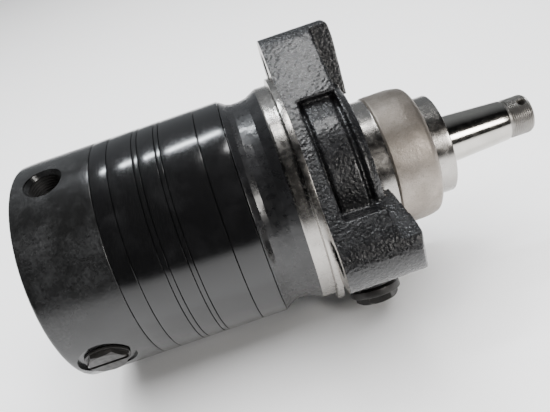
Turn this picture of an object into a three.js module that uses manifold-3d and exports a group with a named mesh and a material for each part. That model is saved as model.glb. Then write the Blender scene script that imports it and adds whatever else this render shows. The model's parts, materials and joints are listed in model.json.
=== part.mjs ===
// A low-speed, high-torque orbital wheel motor, in millimetres.
//
// +X runs along the shaft towards its threaded end, one ear of the flange points along -Y, +Z
// is up, on the open port's side, and the origin is the centre of the end cover's rear face.
// Places around the axis are given by an angle in degrees, counted from +Z towards -Y, which is
// a positive turn about +X.
//
// From rear to front: end cover, commutator ring and commutator, manifold plates, isolator
// plate, stator with rotor and rollers, wear plate, and a housing with a three-eared flange
// that carries the tapered output shaft.
import * as THREE from 'three';
import { mergeVertices } from 'three/addons/utils/BufferGeometryUtils.js';
import Module from 'manifold-3d';

const wasm = await Module();
wasm.setup();

// ---------------------------------------------------------------- driving dimensions

const GAP = 0.3;                       // clearance where two pieces touch
const BODY_RADIUS = 69.85;             // 5.5 in body

// Planes between the stacked pieces.
const COVER_FRONT = 48.3;
const COMMUTATOR_RING_FRONT = 58.7;
const REAR_MANIFOLD_FRONT = 73.8;
const MIDDLE_MANIFOLD_FRONT = 77;
const FRONT_MANIFOLD_FRONT = 87.3;
const ISOLATOR_FRONT = 90.2;
const STATOR_FRONT = 112.2;
const WEAR_PLATE_FRONT = 127.8;

// Cap screws that clamp the stack to the housing.
const BOLT_COUNT = 7;
const BOLT_CIRCLE = 57;
const BOLT_FIRST_ANGLE = 240 / 7;      // halfway between two rollers, and clear of both ports
const BOLT_RADIUS = 4;
const BOLT_HEAD_RADIUS = 6.5;
const BOLT_HEAD_LENGTH = 8;
const BOLT_HEAD_START = 0.8;
const BOLT_END = 149;
const BOLT_HOLE_END = 152;

// Ports.
const PORT_X = 20.6;
const PORT_RADIUS = 10.7;
const PORT_FLOOR = 30;
const OPEN_PORT_ANGLE = 10;
const PLUGGED_PORT_ANGLE = 112.5;
const SPOT_FACE_RADIUS = 17;
const SPOT_FACE_HEIGHT = 67.4;
const PORT_HEX_TOP = 72.2;
const PORT_HEX_FLATS = 22;
const PLUG_LENGTH = 14;
const PLUG_COLLAR_RADIUS = 13;
const PLUG_COLLAR_HEIGHT = 1.4;
const SEAL_SEAT_RADIUS = 12.6;
const SEAL_SEAT_DEPTH = 2.2;
const GALLERY_RADIUS = 4;
const OUTER_GALLERY_CIRCLE = 40;       // opens into the chamber around the commutator
const INNER_GALLERY_CIRCLE = 12;       // opens into the space inside the commutator

// Rotor set: six lobes inside seven rollers.
const ROLLER_COUNT = 7;
const LOBE_COUNT = ROLLER_COUNT - 1;
const ROLLER_CIRCLE = 42;
const ROLLER_RADIUS = 7.5;
const ROLLER_FIRST_ANGLE = 60 / 7;
const ECCENTRICITY = 3;
const ROTOR_CLEARANCE = 0.2;
const STATOR_BORE = 42.3;
const PLATE_BORE = 16;

// Commutator and the drive link that carries it.
const LINK_PIVOT_X = 172;              // where the link meets the shaft, on the motor axis
const ROTOR_X = (ISOLATOR_FRONT + STATOR_FRONT) / 2;
const COMMUTATOR_X = (COVER_FRONT + COMMUTATOR_RING_FRONT) / 2;
const COMMUTATOR_CHAMBER = 44;
const LINK_TEETH = 10;
const LINK_TIP = 12.3;
const LINK_ROOT = 10.3;
const SPLINE_CLEARANCE = 0.8;
const LINK_NOSE = 5;

// Housing and flange.
const MOUNT_FACE_X = 163.8;
const PLATE_FRONT_X = 172.4;
const PILOT_RADIUS = 73.3;
const EAR_ANGLES = [-30, 90, 210];
const EAR_CIRCLE = 80;
const EAR_RADIUS = 18;
const EAR_HOLE = 8.75;
const EAR_RIB_HALF_WIDTH = 12;
const EAR_BLOCK_FRONT_X = 196;
const EAR_BLOCK_FROM_MIDDLE = 25;
const EAR_FRONT_X = 208.5;
const EAR_FRONT_FALL = 3.5;            // how far the ear's front falls back at the hub
const HOUSING_FRONT_X = 252.9;

// Turned surfaces of the housing, from rear to front.
const REAR_RADIUS = 68.5;
const NECK_X = 138.7;
const NECK_RADIUS = 65.4;
const SHOULDER_X = 151.3;
const SHOULDER_RADIUS = 69.7;
const PILOT_X = 159.8;
const HUB_RADIUS = 58;
const HUB_GROOVE_RADIUS = 55.6;
const HUB_FRONT_X = 201;
const HUB_FRONT_RADIUS = 56.4;
const BAND_RADIUS = 41.9;
const BOSS_X = 213.8;
const BOSS_RADIUS = 42.9;
const BOSS_FRONT_X = 240.8;
const NOSE_RADIUS = 31.85;

// Bores of the housing, from rear to front.
const REAR_BORE_RADIUS = 34;
const BORE_X = 150;
const BORE_RADIUS = 32.3;
const THRUST_FACE_X = 211.6;
const SEAL_BORE_RADIUS = 26.3;
const SEAL_STOP_X = 244.5;
const LIP_BORE_RADIUS = 20.4;
const DUST_SEAT_X = 246.8;
const DUST_BORE_RADIUS = 23.3;

// Case drain, on the flat side between two ears.
const DRAIN_X = 185.6;
const DRAIN_ANGLE = 150;
const DRAIN_BOSS_TOP = 74;
const DRAIN_BOSS_RADIUS = 15;
const DRAIN_THREAD = 7;
const DRAIN_THREAD_LENGTH = 13;
const DRAIN_COLLAR_RADIUS = 15;
const DRAIN_COLLAR_TOP = 76.5;
const DRAIN_HEX_FLATS = 24.5;
const DRAIN_HEX_TOP = 84;
const DRAIN_SEAL_RADIUS = 9.2;

// Output shaft.
const DRUM_REAR_X = 150.5;
const DRUM_FRONT_X = 205;
const DRUM_RADIUS = 27;
const JOURNAL_RADIUS = 19.8;
const TAPER_LARGE = 15.875;            // 1 1/4 in, tapering 1 in 8 on the diameter
const TAPER_LENGTH = 44.8;
const TAPER_SMALL = TAPER_LARGE - TAPER_LENGTH / 16;
const THREAD_RADIUS = 12.7;
const THREAD_RELIEF_RADIUS = 11.9;
const COLLAR_RADIUS = 17.2;
const JOURNAL_END_X = 245;
const SOCKET_RADIUS = 15;
const SOCKET_SPLINE_X = 160;
const SOCKET_FLOOR_X = 184;
const SPACER_X = 186.2;
const SPACER_RADIUS = 10.2;
const SPACER_THICKNESS = 2.4;
const KEYWAY_X = [262, 286];
const KEYWAY_ANGLE = 238;
const KEYWAY_FLOOR = 11.2;
const KEYWAY_HALF_WIDTH = 3.97;
const COTTER_X = 309;
const COTTER_ANGLE = 20;
const COTTER_RADIUS = 2.2;
const SHAFT_END_X = 314;

const BODY_SEGMENTS = 28;
const RING_SEGMENTS = 20;
const HOLE_SEGMENTS = 12;
const BOLT_SEGMENTS = 8;

const degrees = THREE.MathUtils.degToRad;

// ---------------------------------------------------------------- shape helpers

// A closed three.js geometry as a manifold solid, facing out.
function solidOf(geometry) {
  const bare = geometry.index ? geometry.toNonIndexed() : geometry.clone();
  bare.deleteAttribute('normal');
  bare.deleteAttribute('uv');
  const merged = mergeVertices(bare, 1e-4);
  const corners = merged.index.array;
  const faces = [];
  for (let i = 0; i < corners.length; i += 3) {
    const [a, b, c] = corners.slice(i, i + 3);
    if (a !== b && b !== c && c !== a) faces.push(a, b, c);
  }
  const build = (triVerts) => new wasm.Manifold(new wasm.Mesh({
    numProp: 3,
    vertProperties: merged.attributes.position.array,
    triVerts: new Uint32Array(triVerts),
  }));
  const solid = build(faces);
  return solid.volume() < 0 ? build(faces.toReversed()) : solid;
}

function geometryOf(solid) {
  const { vertProperties, triVerts } = solid.getMesh();
  const geometry = new THREE.BufferGeometry();
  geometry.setAttribute('position', new THREE.BufferAttribute(new Float32Array(vertProperties), 3));
  geometry.setIndex([...triVerts]);
  return geometry;
}

const cut = (geometry, ...tools) => geometryOf(
  tools.reduce((left, tool) => left.subtract(solidOf(tool)), solidOf(geometry)));

const join = (first, ...others) => geometryOf(
  others.reduce((sum, other) => sum.add(solidOf(other)), solidOf(first)));

const common = (first, second) => geometryOf(solidOf(first).intersect(solidOf(second)));

// A solid of revolution about X. The outline is a list of [x, radius]. One that starts on the
// axis ends on it too, and any other closes on itself.
function turned(outline, segments = BODY_SEGMENTS) {
  const points = outline.map(([x, radius]) => new THREE.Vector2(radius, x));
  if (outline[0][1] > 0) points.push(points[0].clone());
  return new THREE.LatheGeometry(points, segments).rotateZ(-Math.PI / 2);
}

const ring = (x0, x1, inner, outer, segments = BODY_SEGMENTS) =>
  turned([[x0, inner], [x0, outer], [x1, outer], [x1, inner]], segments);

const rod = (x0, x1, radius, segments = HOLE_SEGMENTS) =>
  turned([[x0, 0], [x0, radius], [x1, radius], [x1, 0]], segments);

// A piece drawn along X is stood up along +Z at one place on the axis, and turned to an angle.
function standing(geometry, x, angle) {
  return geometry.rotateY(-Math.PI / 2).translate(x, 0, 0).rotateX(degrees(angle));
}

const post = (x, angle, low, high, radius, segments = HOLE_SEGMENTS) =>
  standing(rod(low, high, radius, segments), x, angle);

// A shape drawn in the (y, z) plane, extruded along X.
const SHAPE_TO_X = new THREE.Matrix4().makeBasis(
  new THREE.Vector3(0, 1, 0), new THREE.Vector3(0, 0, 1), new THREE.Vector3(1, 0, 0));

function extruded(shape, x0, x1, curveSegments = 12) {
  const options = { depth: x1 - x0, bevelEnabled: false, curveSegments };
  return new THREE.ExtrudeGeometry(shape, options).applyMatrix4(SHAPE_TO_X).translate(x0, 0, 0);
}

const hexagon = (flats) => new THREE.Shape(Array.from({ length: 6 }, (_, i) =>
  new THREE.Vector2(0, flats / Math.sqrt(3)).rotateAround(new THREE.Vector2(), i * Math.PI / 3)));

// The point at a radius and an angle, as (y, z).
const around = (radius, angle) => new THREE.Vector2(
  -radius * Math.sin(degrees(angle)), radius * Math.cos(degrees(angle)));

const evenly = (count, first) => Array.from({ length: count }, (_, i) => first + i * 360 / count);

const boltAngles = evenly(BOLT_COUNT, BOLT_FIRST_ANGLE);

function atRadius(geometry, radius, angle) {
  const { x: y, y: z } = around(radius, angle);
  return geometry.translate(0, y, z);
}

// One clearance hole at each cap screw.
const boltHoles = (x0, x1) => boltAngles.map((angle) =>
  atRadius(rod(x0, x1, BOLT_RADIUS + GAP, BOLT_SEGMENTS), BOLT_CIRCLE, angle));

// ---------------------------------------------------------------- the assembly's meshes

const motor = new THREE.Group();

const finishes = {
  blackPaint: { color: 0x161616, roughness: 0.35, metalness: 0.1 },
  castIron: { color: 0x8c867d, roughness: 0.7, metalness: 0.6 },
  steel: { color: 0xb9b6b0, roughness: 0.3, metalness: 1 },
  hardSteel: { color: 0x9a9a9c, roughness: 0.25, metalness: 1 },
  bronze: { color: 0xa8854a, roughness: 0.4, metalness: 1 },
  rubber: { color: 0x1a1a1c, roughness: 0.8, metalness: 0 },
  blackOxide: { color: 0x1d1c1b, roughness: 0.5, metalness: 0.6 },
};

function add(name, geometry, finish, parent = motor) {
  const mesh = new THREE.Mesh(geometry, new THREE.MeshStandardMaterial(finishes[finish]));
  mesh.name = name;
  parent.add(mesh);
  return mesh;
}

// ---------------------------------------------------------------- stacked plates

// A plate of the stack, half a gap short of each of its two planes.
function plate(x0, x1, bore) {
  const low = x0 + GAP / 2;
  const high = x1 - GAP / 2;
  return cut(ring(low, high, bore, BODY_RADIUS), ...boltHoles(x0 - 1, x1 + 1));
}

// Body seals lie in face grooves outside the cap screws.
const GROOVE_INNER = 63;
const GROOVE_OUTER = 66.2;
const GROOVE_DEPTH = 2.2;

// A groove in the face at x, cut towards +X (side 1) or -X (side -1).
function grooveAt(x, side) {
  const face = x + side * GAP / 2;
  const [low, high] = [face - side, face + side * GROOVE_DEPTH].sort((a, b) => a - b);
  return ring(low, high, GROOVE_INNER, GROOVE_OUTER, RING_SEGMENTS);
}

function bodySeal(name, x, side) {
  const ends = [GAP, GROOVE_DEPTH - GAP].map((depth) => x + side * (GAP / 2 + depth));
  const [low, high] = ends.sort((a, b) => a - b);
  add(name, ring(low, high, GROOVE_INNER + GAP, GROOVE_OUTER - GAP, RING_SEGMENTS), 'rubber');
}

// ---------------------------------------------------------------- end cover

function endCover() {
  const front = COVER_FRONT - GAP / 2;
  const body = turned([
    [0, 0], [0, 67.6], [2.4, BODY_RADIUS], [front, BODY_RADIUS], [front, 0],
  ]);
  const seatFloor = BOLT_HEAD_START + BOLT_HEAD_LENGTH + GAP;
  const headSeats = boltAngles.map((angle) => atRadius(
    rod(-1, seatFloor, BOLT_HEAD_RADIUS + 0.5, BOLT_SEGMENTS), BOLT_CIRCLE, angle));
  const outside = BODY_RADIUS + 5;
  const ports = [
    post(PORT_X, OPEN_PORT_ANGLE, PORT_FLOOR, outside, PORT_RADIUS, 24),
    post(PORT_X, PLUGGED_PORT_ANGLE, PORT_FLOOR, outside, PORT_RADIUS, 24),
    post(PORT_X, PLUGGED_PORT_ANGLE, SPOT_FACE_HEIGHT, outside, SPOT_FACE_RADIUS, 32),
    post(PORT_X, PLUGGED_PORT_ANGLE, SPOT_FACE_HEIGHT - SEAL_SEAT_DEPTH, SPOT_FACE_HEIGHT + 1,
      SEAL_SEAT_RADIUS, 24),
  ];
  // The open port feeds the chamber around the commutator, and the plugged one the space inside.
  const galleries = [
    atRadius(rod(PORT_X, front + 1, GALLERY_RADIUS), OUTER_GALLERY_CIRCLE, OPEN_PORT_ANGLE),
    atRadius(rod(PORT_X, front + 1, GALLERY_RADIUS), INNER_GALLERY_CIRCLE, PLUGGED_PORT_ANGLE),
    post(PORT_X, PLUGGED_PORT_ANGLE, INNER_GALLERY_CIRCLE, PORT_FLOOR + 1, GALLERY_RADIUS),
  ];
  add('end_cover', cut(body, ...headSeats, ...boltHoles(1, front + 1), ...ports, ...galleries,
    grooveAt(COVER_FRONT, -1)), 'blackPaint');
}

function portPlug() {
  const collarBottom = SPOT_FACE_HEIGHT + GAP;
  const hex = extruded(hexagon(PORT_HEX_FLATS), collarBottom + PLUG_COLLAR_HEIGHT - 0.2, PORT_HEX_TOP);
  const slot = new THREE.BoxGeometry(3, 40, 2.4).translate(PORT_HEX_TOP, 0, 0);
  const upright = cut(join(
    rod(SPOT_FACE_HEIGHT - PLUG_LENGTH, collarBottom + 0.5, PORT_RADIUS - GAP, 24),
    rod(collarBottom, collarBottom + PLUG_COLLAR_HEIGHT, PLUG_COLLAR_RADIUS, 24), hex), slot);
  const seal = ring(SPOT_FACE_HEIGHT - SEAL_SEAT_DEPTH + GAP, SPOT_FACE_HEIGHT - GAP,
    PORT_RADIUS, SEAL_SEAT_RADIUS - 0.4, 24);
  add('port_plug', standing(upright, PORT_X, PLUGGED_PORT_ANGLE), 'blackOxide');
  add('port_plug_seal', standing(seal, PORT_X, PLUGGED_PORT_ANGLE), 'rubber');
}

function coverBolts() {
  const headEnd = BOLT_HEAD_START + BOLT_HEAD_LENGTH;
  const key = extruded(hexagon(6.5), BOLT_HEAD_START - 1, BOLT_HEAD_START + 4);
  const bolt = cut(turned([
    [BOLT_HEAD_START, 0], [BOLT_HEAD_START, BOLT_HEAD_RADIUS - 0.6],
    [BOLT_HEAD_START + 0.6, BOLT_HEAD_RADIUS], [headEnd, BOLT_HEAD_RADIUS],
    [headEnd, BOLT_RADIUS], [BOLT_END, BOLT_RADIUS], [BOLT_END, 0],
  ], BOLT_SEGMENTS), key);
  boltAngles.forEach((angle, i) =>
    add(`cover_bolt_${i + 1}`, atRadius(bolt.clone(), BOLT_CIRCLE, angle), 'blackOxide'));
}

// ---------------------------------------------------------------- commutator and manifold

function commutatorRing() {
  add('commutator_ring', cut(plate(COVER_FRONT, COMMUTATOR_RING_FRONT, COMMUTATOR_CHAMBER),
    grooveAt(COMMUTATOR_RING_FRONT, -1)), 'blackPaint');
}

const MANIFOLD_PASSAGE_CIRCLE = 36;
const MANIFOLD_PASSAGE_RADIUS = 2.6;

function passages(x0, x1) {
  const passage = () => rod(x0 - 1, x1 + 1, MANIFOLD_PASSAGE_RADIUS, 6);
  return boltAngles.map((angle) => atRadius(passage(), MANIFOLD_PASSAGE_CIRCLE, angle));
}

function manifoldPlates() {
  const planes = [
    ['manifold_rear_plate', COMMUTATOR_RING_FRONT, REAR_MANIFOLD_FRONT],
    ['manifold_middle_plate', REAR_MANIFOLD_FRONT, MIDDLE_MANIFOLD_FRONT],
    ['manifold_front_plate', MIDDLE_MANIFOLD_FRONT, FRONT_MANIFOLD_FRONT],
    ['isolator_plate', FRONT_MANIFOLD_FRONT, ISOLATOR_FRONT],
  ];
  for (const [name, x0, x1] of planes) {
    add(name, cut(plate(x0, x1, PLATE_BORE), ...passages(x0, x1)), 'blackPaint');
  }
}

// The link's centre line leaves the motor axis at the shaft, so the offset grows rearwards.
const linkOffset = (x) => ECCENTRICITY * (LINK_PIVOT_X - x) / (LINK_PIVOT_X - ROTOR_X);

function commutator() {
  const low = COVER_FRONT + 0.4;
  const high = COMMUTATOR_RING_FRONT - 0.4;
  const offset = linkOffset(COMMUTATOR_X);
  const outer = COMMUTATOR_CHAMBER - offset - 0.5;
  const disc = ring(low, high, LINK_NOSE + 0.6, outer);
  const recess = ring(high - 3.5, high + 1, 26, 31, RING_SEGMENTS);
  const sealGroove = ring(low - 1, low + 2.6, 18, 22, RING_SEGMENTS);
  add('commutator', cut(disc, recess, sealGroove).translate(0, 0, offset), 'hardSteel');
  const seal = ring(low + 0.1, low + 2.3, 18.3, 21.7, RING_SEGMENTS);
  add('commutator_seal', seal.translate(0, 0, offset), 'rubber');
}

// ---------------------------------------------------------------- rotor set

const rollerAngles = evenly(ROLLER_COUNT, ROLLER_FIRST_ANGLE);

// A ring of straight-sided spline teeth, as points around the origin.
function splineOutline(tip, root) {
  const pitch = 360 / LINK_TEETH;
  const corners = [[tip, -0.16], [tip, 0.16], [root, 0.3], [root, 0.7]];
  return Array.from({ length: LINK_TEETH }, (_, tooth) =>
    corners.map(([radius, part]) => around(radius, (tooth + part) * pitch))).flat();
}

const splineBore = splineOutline(LINK_TIP + SPLINE_CLEARANCE, LINK_ROOT + SPLINE_CLEARANCE);

// With the rotor displaced towards +Z, its lobes mesh when its outline is turned by 7/6 of the
// angle of the first roller.
const meshAngle = ROLLER_FIRST_ANGLE * ROLLER_COUNT / LOBE_COUNT;

// The rotor's outline stays one roller radius inside the path that the roller centres trace
// around it, so all seven rollers touch it at every angle.
function rotorOutline(points) {
  const reach = ROLLER_RADIUS + ROTOR_CLEARANCE;
  return Array.from({ length: points }, (_, i) => {
    const t = (i / points) * 2 * Math.PI;
    const centre = new THREE.Vector2(
      -ROLLER_CIRCLE * Math.sin(t) + ECCENTRICITY * Math.sin(ROLLER_COUNT * t),
      ROLLER_CIRCLE * Math.cos(t) - ECCENTRICITY * Math.cos(ROLLER_COUNT * t));
    const along = new THREE.Vector2(
      -ROLLER_CIRCLE * Math.cos(t) + ROLLER_COUNT * ECCENTRICITY * Math.cos(ROLLER_COUNT * t),
      -ROLLER_CIRCLE * Math.sin(t) + ROLLER_COUNT * ECCENTRICITY * Math.sin(ROLLER_COUNT * t));
    const inward = new THREE.Vector2(-along.y, along.x).normalize();
    return centre.addScaledVector(inward, reach).rotateAround(new THREE.Vector2(), degrees(meshAngle));
  });
}

function stator() {
  const pockets = rollerAngles.map((angle) => atRadius(
    rod(ISOLATOR_FRONT - 1, STATOR_FRONT + 1, ROLLER_RADIUS + 0.25, RING_SEGMENTS), ROLLER_CIRCLE, angle));
  add('stator', cut(plate(ISOLATOR_FRONT, STATOR_FRONT, STATOR_BORE), ...pockets,
    grooveAt(ISOLATOR_FRONT, 1)), 'blackPaint');
}

function rotor() {
  const shape = new THREE.Shape(rotorOutline(LOBE_COUNT * 14));
  shape.holes.push(new THREE.Path(splineBore));
  const geometry = extruded(shape, ISOLATOR_FRONT + 0.4, STATOR_FRONT - 0.4);
  add('rotor', geometry.translate(0, 0, ECCENTRICITY), 'hardSteel');
}

function rollers() {
  const roller = turned([
    [ISOLATOR_FRONT + 0.4, 0], [ISOLATOR_FRONT + 0.4, ROLLER_RADIUS - 0.5],
    [ISOLATOR_FRONT + 0.9, ROLLER_RADIUS], [STATOR_FRONT - 0.9, ROLLER_RADIUS],
    [STATOR_FRONT - 0.4, ROLLER_RADIUS - 0.5], [STATOR_FRONT - 0.4, 0],
  ], 16);
  rollerAngles.forEach((angle, i) =>
    add(`roller_${i + 1}`, atRadius(roller.clone(), ROLLER_CIRCLE, angle), 'hardSteel'));
}

function wearPlate() {
  add('wear_plate', cut(plate(STATOR_FRONT, WEAR_PLATE_FRONT, PLATE_BORE),
    grooveAt(STATOR_FRONT, 1)), 'blackPaint');
}

// ---------------------------------------------------------------- drive link

function driveLink() {
  const rotorEnd = ROTOR_X - LINK_PIVOT_X;
  const noseEnd = COMMUTATOR_X - LINK_PIVOT_X;
  const shank = 9;
  const stem = turned([
    [noseEnd - 4, 0], [noseEnd - 4, LINK_NOSE - 1.5], [noseEnd - 2.5, LINK_NOSE],
    [noseEnd + 3, LINK_NOSE], [noseEnd + 6, LINK_NOSE - 0.6], [rotorEnd - 14, LINK_NOSE + 1.5],
    [rotorEnd - 10, shank], [12, shank], [12, 0],
  ], HOLE_SEGMENTS);
  const head = (x) => common(
    extruded(new THREE.Shape(splineOutline(LINK_TIP, LINK_ROOT)), x - 9, x + 9),
    turned([[x - 9, 0], [x - 9, LINK_TIP - 1.2], [x - 4, LINK_TIP - 0.2], [x + 4, LINK_TIP - 0.2],
      [x + 9, LINK_TIP - 1.2], [x + 9, 0]], 20));
  const holder = new THREE.Group();
  holder.position.set(LINK_PIVOT_X, 0, 0);
  holder.rotation.y = Math.atan2(ECCENTRICITY, LINK_PIVOT_X - ROTOR_X);
  motor.add(holder);
  add('drive_link', join(stem, head(rotorEnd), head(0)), 'hardSteel', holder);
}

// ---------------------------------------------------------------- housing

// The flange's outline: three round ears joined by straight sides.
function flangeShape() {
  const shape = new THREE.Shape();
  EAR_ANGLES.forEach((ear) => {
    for (let turn = -60; turn <= 60; turn += 20) {
      const point = around(EAR_CIRCLE, ear).add(around(EAR_RADIUS, ear + turn));
      if (shape.currentPoint.length() === 0) shape.moveTo(point.x, point.y);
      else shape.lineTo(point.x, point.y);
    }
  });
  return shape;
}

// A plane in front of every part of the flange, where tools that cross it end.
const FRONT_LIMIT_X = 230;

// A box that spans one part of the flange, in the frame of an angle: x, height along the angle,
// and width across it, towards the larger angles.
function sector(angle, [x0, x1], [low, high], [left, right]) {
  return new THREE.BoxGeometry(x1 - x0, right - left, high - low)
    .translate((x0 + x1) / 2, -(left + right) / 2, (low + high) / 2)
    .rotateX(degrees(angle));
}

// An ear's front rib, which slopes down towards the hub, around the ear's bolt. It is narrower
// in front of the ear's full-width block.
function earRib(angle) {
  const tip = EAR_CIRCLE + EAR_RADIUS;
  const root = PLATE_FRONT_X - 1;
  const side = new THREE.Shape([
    [36, root], [tip, root], [tip, EAR_FRONT_X - 4], [tip - 4.5, EAR_FRONT_X - 0.8],
    [tip - 12.5, EAR_FRONT_X], [36, EAR_FRONT_X - EAR_FRONT_FALL],
  ].map(([height, x]) => new THREE.Vector2(height, x)));
  // The side view is drawn as (height, x), and its width runs across the ear.
  const slab = new THREE.ExtrudeGeometry(side, { depth: 2 * EAR_RADIUS, bevelEnabled: false })
    .applyMatrix4(new THREE.Matrix4().makeBasis(
      new THREE.Vector3(0, 0, 1), new THREE.Vector3(1, 0, 0), new THREE.Vector3(0, 1, 0)))
    .translate(0, -EAR_RADIUS, 0);
  const roundEnd = (front) => atRadius(rod(MOUNT_FACE_X, front, EAR_RADIUS, 18), EAR_CIRCLE, 0);
  const width = [-EAR_RIB_HALF_WIDTH, EAR_RIB_HALF_WIDTH];
  const plan = join(
    roundEnd(EAR_BLOCK_FRONT_X),
    common(roundEnd(FRONT_LIMIT_X), sector(0, [MOUNT_FACE_X, FRONT_LIMIT_X], [30, tip + 5], width)),
    sector(0, [MOUNT_FACE_X, FRONT_LIMIT_X], [30, EAR_CIRCLE], width));
  return common(slab, plan).rotateX(degrees(angle));
}

function housing() {
  const casting = turned([
    [WEAR_PLATE_FRONT + GAP / 2, 0], [WEAR_PLATE_FRONT + GAP / 2, REAR_RADIUS],
    [NECK_X - 5.2, NECK_RADIUS + 0.5], [NECK_X, NECK_RADIUS], [NECK_X + 5.3, NECK_RADIUS + 0.5],
    [SHOULDER_X - 2.1, SHOULDER_RADIUS - 1.2], [SHOULDER_X, SHOULDER_RADIUS],
    [PILOT_X, SHOULDER_RADIUS], [PILOT_X, PILOT_RADIUS],
    [MOUNT_FACE_X + 1, PILOT_RADIUS], [MOUNT_FACE_X + 1, HUB_RADIUS],
    // A cast groove runs around the hub at each end of the pockets between the ears.
    [PLATE_FRONT_X, HUB_RADIUS], [PLATE_FRONT_X, HUB_GROOVE_RADIUS],
    [PLATE_FRONT_X + 2.4, HUB_GROOVE_RADIUS], [PLATE_FRONT_X + 2.4, HUB_RADIUS],
    [HUB_FRONT_X - 9, HUB_RADIUS], [HUB_FRONT_X - 9, HUB_GROOVE_RADIUS],
    [HUB_FRONT_X - 5.6, HUB_GROOVE_RADIUS], [HUB_FRONT_X - 5.6, HUB_RADIUS],
    [HUB_FRONT_X, HUB_FRONT_RADIUS], [HUB_FRONT_X, BAND_RADIUS],
    [BOSS_X, BAND_RADIUS], [BOSS_X, BOSS_RADIUS],
    [BOSS_FRONT_X - 8.8, BOSS_RADIUS], [BOSS_FRONT_X - 3.8, BOSS_RADIUS - 1],
    [BOSS_FRONT_X, BOSS_RADIUS - 5.9], [BOSS_FRONT_X, NOSE_RADIUS],
    [HOUSING_FRONT_X, NOSE_RADIUS], [HOUSING_FRONT_X, 0],
  ]);
  const flange = extruded(flangeShape(), MOUNT_FACE_X, PLATE_FRONT_X);
  const earBlocks = EAR_ANGLES.map((angle) => common(
    extruded(flangeShape(), MOUNT_FACE_X, EAR_BLOCK_FRONT_X),
    sector(angle + 60, [MOUNT_FACE_X - 1, FRONT_LIMIT_X], [20, 70], [-90, -EAR_BLOCK_FROM_MIDDLE])));
  const drainBoss = post(DRAIN_X, DRAIN_ANGLE, 40, DRAIN_BOSS_TOP, DRAIN_BOSS_RADIUS, 24);
  const solid = join(casting, flange, ...earBlocks, ...EAR_ANGLES.map(earRib), drainBoss);

  const bore = turned([
    [WEAR_PLATE_FRONT - 1, 0], [WEAR_PLATE_FRONT - 1, REAR_BORE_RADIUS], [BORE_X, REAR_BORE_RADIUS],
    [BORE_X, BORE_RADIUS], [THRUST_FACE_X, BORE_RADIUS], [THRUST_FACE_X, SEAL_BORE_RADIUS],
    [SEAL_STOP_X, SEAL_BORE_RADIUS], [SEAL_STOP_X, LIP_BORE_RADIUS], [DUST_SEAT_X, LIP_BORE_RADIUS],
    [DUST_SEAT_X, DUST_BORE_RADIUS], [HOUSING_FRONT_X + 1, DUST_BORE_RADIUS], [HOUSING_FRONT_X + 1, 0],
  ]);
  const earHoles = EAR_ANGLES.map((angle) =>
    atRadius(rod(MOUNT_FACE_X - 1, FRONT_LIMIT_X, EAR_HOLE), EAR_CIRCLE, angle));
  const drainTop = DRAIN_BOSS_TOP + 1;
  const drainHole = post(DRAIN_X, DRAIN_ANGLE, 20, drainTop, DRAIN_THREAD + GAP);
  const drainSealSeat = post(
    DRAIN_X, DRAIN_ANGLE, DRAIN_BOSS_TOP - SEAL_SEAT_DEPTH, drainTop, DRAIN_SEAL_RADIUS, 20);
  add('housing', cut(solid, bore, ...earHoles, ...boltHoles(WEAR_PLATE_FRONT - 1, BOLT_HOLE_END),
    drainHole, drainSealSeat, grooveAt(WEAR_PLATE_FRONT, 1)), 'castIron');
}

function drainPlug() {
  const bottom = DRAIN_BOSS_TOP + GAP;
  const upright = join(
    rod(DRAIN_BOSS_TOP - DRAIN_THREAD_LENGTH, bottom + 1, DRAIN_THREAD),
    rod(bottom, DRAIN_COLLAR_TOP, DRAIN_COLLAR_RADIUS, 28),
    extruded(hexagon(DRAIN_HEX_FLATS), DRAIN_COLLAR_TOP - 0.5, DRAIN_HEX_TOP));
  const seal = ring(DRAIN_BOSS_TOP - SEAL_SEAT_DEPTH + GAP, DRAIN_BOSS_TOP - 0.1,
    DRAIN_THREAD + GAP, DRAIN_SEAL_RADIUS - GAP, 20);
  add('case_drain_plug', standing(upright, DRAIN_X, DRAIN_ANGLE), 'blackOxide');
  add('case_drain_seal', standing(seal, DRAIN_X, DRAIN_ANGLE), 'rubber');
}

// ---------------------------------------------------------------- shaft, bearings and seals

function outputShaft() {
  const taperEnd = HOUSING_FRONT_X + TAPER_LENGTH;
  const blank = turned([
    [DRUM_REAR_X, 0], [DRUM_REAR_X, DRUM_RADIUS], [DRUM_FRONT_X, DRUM_RADIUS],
    [DRUM_FRONT_X, JOURNAL_RADIUS], [JOURNAL_END_X, JOURNAL_RADIUS],
    [JOURNAL_END_X + 1, COLLAR_RADIUS], [HOUSING_FRONT_X - 0.6, COLLAR_RADIUS],
    [HOUSING_FRONT_X, TAPER_LARGE], [taperEnd, TAPER_SMALL],
    [taperEnd + 0.3, THREAD_RELIEF_RADIUS], [taperEnd + 1.4, THREAD_RELIEF_RADIUS],
    [taperEnd + 1.7, THREAD_RADIUS], [SHAFT_END_X - 1.3, THREAD_RADIUS],
    [SHAFT_END_X, THREAD_RADIUS - 1.3], [SHAFT_END_X, 0],
  ]);
  const socket = join(
    rod(DRUM_REAR_X - 1, SOCKET_SPLINE_X + 1, SOCKET_RADIUS, 24),
    extruded(new THREE.Shape(splineBore), SOCKET_SPLINE_X, SOCKET_FLOOR_X + 0.4),
    rod(SOCKET_FLOOR_X, SPACER_X + SPACER_THICKNESS + 0.4, SPACER_RADIUS + 0.8, 24));
  const cotterHole = post(COTTER_X, COTTER_ANGLE, -20, 20, COTTER_RADIUS);
  const keyway = sector(
    KEYWAY_ANGLE, KEYWAY_X, [KEYWAY_FLOOR, 20], [-KEYWAY_HALF_WIDTH, KEYWAY_HALF_WIDTH]);
  add('output_shaft', cut(blank, socket, cotterHole, keyway), 'steel');
  add('link_spacer', rod(SPACER_X, SPACER_X + SPACER_THICKNESS, SPACER_RADIUS), 'hardSteel');
}

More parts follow.
